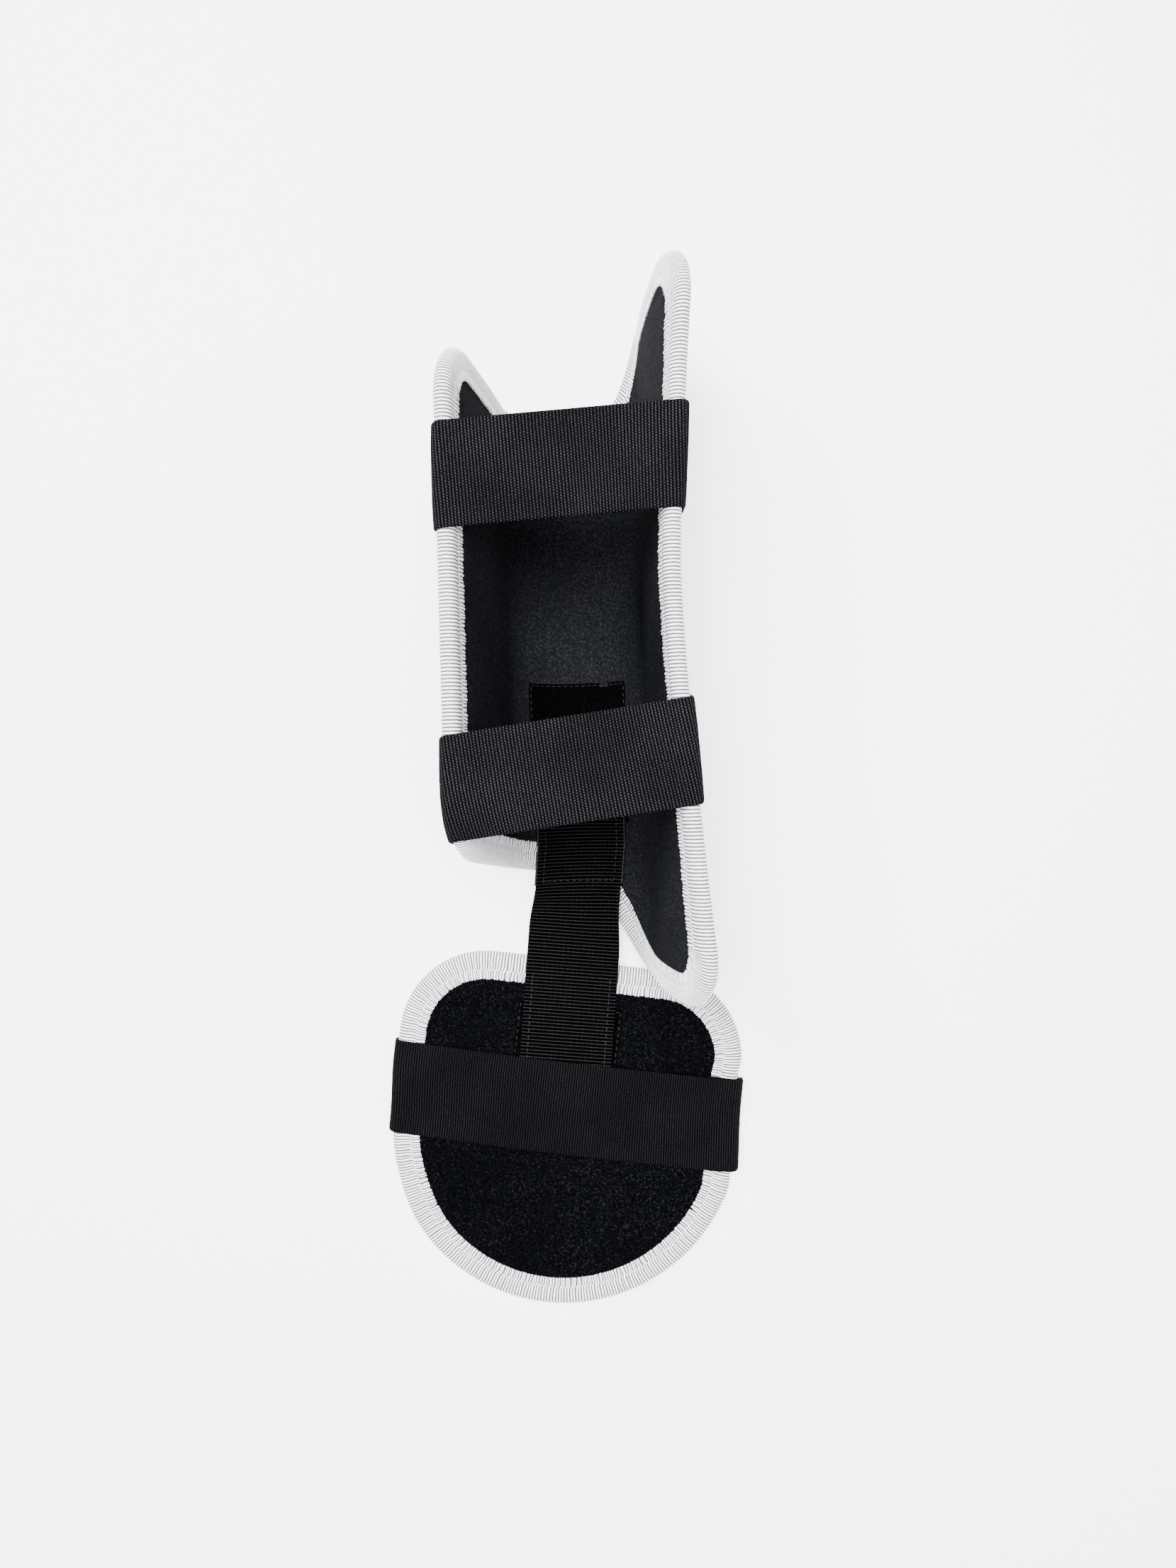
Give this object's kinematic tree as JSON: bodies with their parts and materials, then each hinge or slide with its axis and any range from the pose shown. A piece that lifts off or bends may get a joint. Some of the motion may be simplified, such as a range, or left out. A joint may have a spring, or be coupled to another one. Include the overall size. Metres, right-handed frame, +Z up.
{
  "type": "ankle foot orthosis",
  "caption": "Soft ankle foot orthosis: padded U-shaped calf trough and foot pad joined by adjustable webbing, with elastic hook-and-loop straps.",
  "frame": {"origin": "on the surface the object lies on, under the middle of the foot pad, on the strap sewn across the pad's underside", "axes": "+Y runs up the leg along the calf trough, +Z is up out of the trough, +X is to the right seen from above with the trough at the top"},
  "size_m": [0.164, 0.4266, 0.1002],
  "materials": {
    "lining": "black brushed knit laminated to foam",
    "cover": "black nylon knit",
    "foam": "closed-cell foam",
    "stiffener": "natural polyethylene sheet",
    "binding": "white ribbed grosgrain tape",
    "loop": "black brushed loop pile",
    "hook": "black nylon hook tape",
    "elastic": "black ribbed woven elastic",
    "webbing": "black ribbed nylon webbing"
  },
  "bodies": {
    "calf_cuff": {"cuff_lining": "lining", "cuff_foam": "foam", "cuff_insert": "stiffener", "cuff_cover": "cover", "cuff_binding": "binding", "cuff_loop_patch": "loop", "upper_strap_sewn_end": "elastic", "upper_strap_landing": "loop", "lower_strap_sewn_end": "elastic", "lower_strap_landing": "loop"},
    "upper_strap_end": {"upper_strap": "elastic", "upper_strap_hook": "hook"},
    "lower_strap_end": {"lower_strap": "elastic", "lower_strap_hook": "hook"},
    "webbing_upper": {"connector_upper": "webbing", "connector_upper_hook": "hook"},
    "webbing_lower": {"connector_lower": "webbing", "connector_lower_hook": "hook"},
    "foot_pad": {"pad_lining": "lining", "pad_foam": "foam", "pad_insert": "stiffener", "pad_cover": "cover", "pad_binding": "binding", "pad_loop_patch": "loop", "foot_strap_sewn_end": "elastic", "foot_strap_landing": "loop"},
    "foot_strap_end": {"foot_strap": "elastic", "foot_strap_hook": "hook"}
  },
  "joints": [
    {"name": "upper_strap_hinge", "type": "hinge", "parent": "calf_cuff", "child": "upper_strap_end", "pos_m": [-0.03344, 0.265, 0.1002], "axis": [0, -1, 0], "range_deg": [0, 160]},
    {"name": "lower_strap_hinge", "type": "hinge", "parent": "calf_cuff", "child": "lower_strap_end", "pos_m": [-0.03344, 0.1565, 0.1002], "axis": [0, -1, 0], "range_deg": [0, 160]},
    {"name": "cuff_length_slide", "type": "slide", "parent": "calf_cuff", "child": "webbing_upper", "axis": [0, -1, 0], "range_m": [0, 0.02]},
    {"name": "ankle_bend", "type": "hinge", "parent": "webbing_upper", "child": "webbing_lower", "pos_m": [0.0064, 0.077, 0.01145], "axis": [-0.9951, 0.0993, 0], "range_deg": [0, 70]},
    {"name": "pad_length_slide", "type": "slide", "parent": "webbing_lower", "child": "foot_pad", "axis": [-0.1409, -0.99, 0], "range_m": [0, 0.02]},
    {"name": "foot_strap_hinge", "type": "hinge", "parent": "foot_pad", "child": "foot_strap_end", "pos_m": [-0.07142, 0.02127, 0.0097], "axis": [-0.1409, -0.99, 0], "range_deg": [0, 150]}
  ]
}
